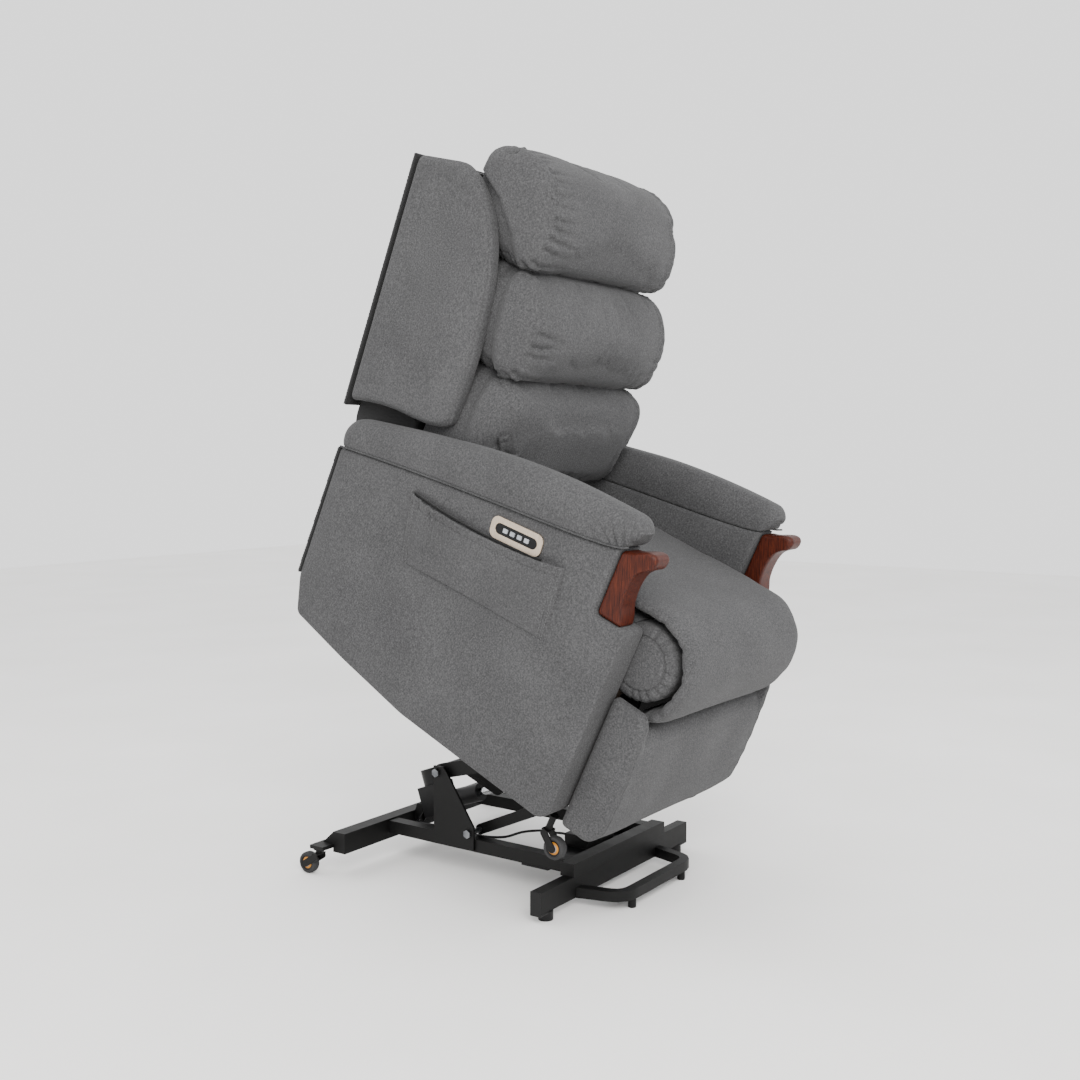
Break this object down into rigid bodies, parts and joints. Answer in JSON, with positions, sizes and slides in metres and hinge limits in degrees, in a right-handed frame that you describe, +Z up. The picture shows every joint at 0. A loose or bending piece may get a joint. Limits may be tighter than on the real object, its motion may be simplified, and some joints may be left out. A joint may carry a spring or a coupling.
{
  "type": "powered lift recliner chair",
  "caption": "Powered lift recliner in grey cloth, tipped up on a black steel lift base, with a reclining back, swing-out legrest, hand control and side pocket.",
  "frame": {"origin": "on the floor, under the middle of the bounding box of the chair as stored, tipped up", "axes": "+Z up; the chair faces -Y; +X is the sitter's left"},
  "size_m": [0.7044, 0.9606, 1.5868],
  "materials": {
    "fabric_grey": "woven melange cloth",
    "cloth_black": "plain cloth over board",
    "steel_black": "black powder coat",
    "steel_bright": "zinc plated",
    "wood_red": "red-brown stain, satin lacquer",
    "wood_plain": "plain board",
    "bezel_metal": "satin champagne",
    "plastic_black": "fine texture",
    "plastic_grey": "fine texture",
    "plastic_key": "satin",
    "rubber_foot": "matt",
    "caster_wheel": "grey-black tread on an orange hub"
  },
  "bodies": {
    "base": {"front_foot_bar": "steel_black", "front_tie_bar": "steel_black", "front_loop": "steel_black", "rear_cross_bar": "steel_black", "side_rail_right": "steel_black", "side_rail_left": "steel_black", "foot_cap_right": "rubber_foot", "foot_cap_left": "rubber_foot", "upper_pivot_shaft": "steel_bright", "lower_pivot_shaft": "steel_bright", "supply_box": "plastic_black", "mains_inlet": "plastic_black", "motor_lead": "plastic_black"},
    "lower_links": {"lower_links": "steel_black"},
    "upper_links": {"upper_links": "steel_black"},
    "lift_drive": {"lift_gearbox": "plastic_black"},
    "lift_rod": {"lift_rod": "steel_bright"},
    "chair": {"seat_frame": "wood_plain", "seat_deck": "wood_plain", "link_brackets": "steel_black", "side_pocket": "fabric_grey", "seat_cushion": "fabric_grey", "chaise_pad": "fabric_grey", "lower_rear_cover": "cloth_black", "recline_drive": "plastic_grey", "arm_right": "fabric_grey", "arm_left": "fabric_grey", "arm_pad_right": "fabric_grey", "arm_pad_left": "fabric_grey", "knuckle_right": "wood_red", "knuckle_left": "wood_red", "control_bezel": "bezel_metal", "control_insert": "plastic_black"},
    "back": {"back_board": "cloth_black", "back_frame": "steel_black", "rear_cover": "cloth_black", "head_pillow": "fabric_grey", "middle_pillow": "fabric_grey", "lumbar_pillow": "fabric_grey", "wing_right": "fabric_grey", "wing_left": "fabric_grey"},
    "recline_rod": {"recline_rod": "steel_bright"},
    "leg_arms": {"leg_arms": "steel_black"},
    "leg_links": {"leg_link_right": "steel_black", "leg_link_left": "steel_black"},
    "legrest": {"leg_board": "fabric_grey", "leg_bracket": "steel_black"},
    "rear_fork_right": {"rear_caster_fork_right": "steel_black"},
    "rear_wheel_right": {"rear_caster_wheel_right": "caster_wheel"},
    "rear_fork_left": {"rear_caster_fork_left": "steel_black"},
    "rear_wheel_left": {"rear_caster_wheel_left": "caster_wheel"},
    "front_fork_right": {"front_caster_fork_right": "steel_black"},
    "front_wheel_right": {"front_caster_wheel_right": "caster_wheel"},
    "front_fork_left": {"front_caster_fork_left": "steel_black"},
    "front_wheel_left": {"front_caster_wheel_left": "caster_wheel"},
    "key_1": {"control_key_1": "plastic_key"},
    "key_2": {"control_key_2": "plastic_key"},
    "key_3": {"control_key_3": "plastic_key"},
    "key_4": {"control_key_4": "plastic_key"}
  },
  "joints": [
    {"name": "lift", "type": "hinge", "parent": "base", "child": "lower_links", "pos_m": [0, 0.10763, 0.106], "axis": [1, 0, 0], "range_deg": [0, 22.33]},
    {"name": "seat_tilt", "type": "hinge", "parent": "lower_links", "child": "chair", "pos_m": [0, -0.2168, 0.25008], "axis": [1, 0, 0], "range_deg": [-47.53, 0]},
    {"name": "upper_link", "type": "hinge", "parent": "base", "child": "upper_links", "pos_m": [0, 0.19763, 0.231], "axis": [1, 0, 0], "range_deg": [0, 28.69]},
    {"name": "lift_drive", "type": "hinge", "parent": "base", "child": "lift_drive", "pos_m": [0, 0.33863, 0.105], "axis": [1, 0, 0], "range_deg": [0, 8.42]},
    {"name": "lift_rod", "type": "slide", "parent": "lift_drive", "child": "lift_rod", "axis": [0, -0.9439, 0.3301], "range_m": [-0.04286, 0]},
    {"name": "back_recline", "type": "hinge", "parent": "chair", "child": "back", "pos_m": [0, 0.23185, 0.75499], "axis": [-1, 0, 0], "range_deg": [0, 35]},
    {"name": "legrest_arm", "type": "hinge", "parent": "chair", "child": "leg_arms", "pos_m": [0, -0.11288, 0.50046], "axis": [-1, 0, 0], "range_deg": [0, 118]},
    {"name": "legrest_link", "type": "hinge", "parent": "leg_arms", "child": "leg_links", "pos_m": [0, 0.03655, 0.48739], "axis": [1, 0, 0], "range_deg": [0, 96.2]},
    {"name": "legrest_board", "type": "hinge", "parent": "leg_links", "child": "legrest", "pos_m": [0, -0.25762, 0.32815], "axis": [-1, 0, 0], "range_deg": [0, 49.2]},
    {"name": "recline_rod", "type": "slide", "parent": "chair", "child": "recline_rod", "axis": [0, -0.9063, -0.4226], "range_m": [0, 0.0605]},
    {"name": "rear_swivel_right", "type": "hinge", "parent": "base", "child": "rear_fork_right", "pos_m": [-0.338, 0.40863, 0.06], "axis": [0, 0, 1], "continuous": true},
    {"name": "rear_roll_right", "type": "hinge", "parent": "rear_fork_right", "child": "rear_wheel_right", "pos_m": [-0.338, 0.43863, 0.024], "axis": [1, 0, 0], "continuous": true},
    {"name": "front_swivel_right", "type": "hinge", "parent": "chair", "child": "front_fork_right", "pos_m": [-0.28, -0.1918, 0.2154], "axis": [0, -0.4226, 0.9063], "continuous": true},
    {"name": "front_roll_right", "type": "hinge", "parent": "front_fork_right", "child": "front_wheel_right", "pos_m": [-0.28, -0.19786, 0.1574], "axis": [1, 0, 0], "continuous": true},
    {"name": "rear_swivel_left", "type": "hinge", "parent": "base", "child": "rear_fork_left", "pos_m": [0.338, 0.40863, 0.06], "axis": [0, 0, 1], "continuous": true},
    {"name": "rear_roll_left", "type": "hinge", "parent": "rear_fork_left", "child": "rear_wheel_left", "pos_m": [0.338, 0.43863, 0.024], "axis": [1, 0, 0], "continuous": true},
    {"name": "front_swivel_left", "type": "hinge", "parent": "chair", "child": "front_fork_left", "pos_m": [0.28, -0.1918, 0.2154], "axis": [0, -0.4226, 0.9063], "continuous": true},
    {"name": "front_roll_left", "type": "hinge", "parent": "front_fork_left", "child": "front_wheel_left", "pos_m": [0.28, -0.19786, 0.1574], "axis": [1, 0, 0], "continuous": true},
    {"name": "key_press_1", "type": "slide", "parent": "chair", "child": "key_1", "axis": [1, 0, 0], "range_m": [0, 0.0012], "stiffness_N_per_m": 400},
    {"name": "key_press_2", "type": "slide", "parent": "chair", "child": "key_2", "axis": [1, 0, 0], "range_m": [0, 0.0012], "stiffness_N_per_m": 400},
    {"name": "key_press_3", "type": "slide", "parent": "chair", "child": "key_3", "axis": [1, 0, 0], "range_m": [0, 0.0012], "stiffness_N_per_m": 400},
    {"name": "key_press_4", "type": "slide", "parent": "chair", "child": "key_4", "axis": [1, 0, 0], "range_m": [0, 0.0012], "stiffness_N_per_m": 400}
  ],
  "couplings": [
    {"joint": "seat_tilt", "follows": "lift", "ratio": -2.1195},
    {"joint": "upper_link", "follows": "lift", "ratio": 1.276},
    {"joint": "lift_drive", "follows": "lift", "ratio": 0.36787},
    {"joint": "lift_rod", "follows": "lift", "m_per_rad": -0.10869},
    {"joint": "legrest_link", "follows": "legrest_arm", "ratio": 0.81356},
    {"joint": "legrest_board", "follows": "legrest_arm", "ratio": 0.41525},
    {"joint": "recline_rod", "follows": "legrest_arm", "m_per_rad": 0.02913}
  ]
}
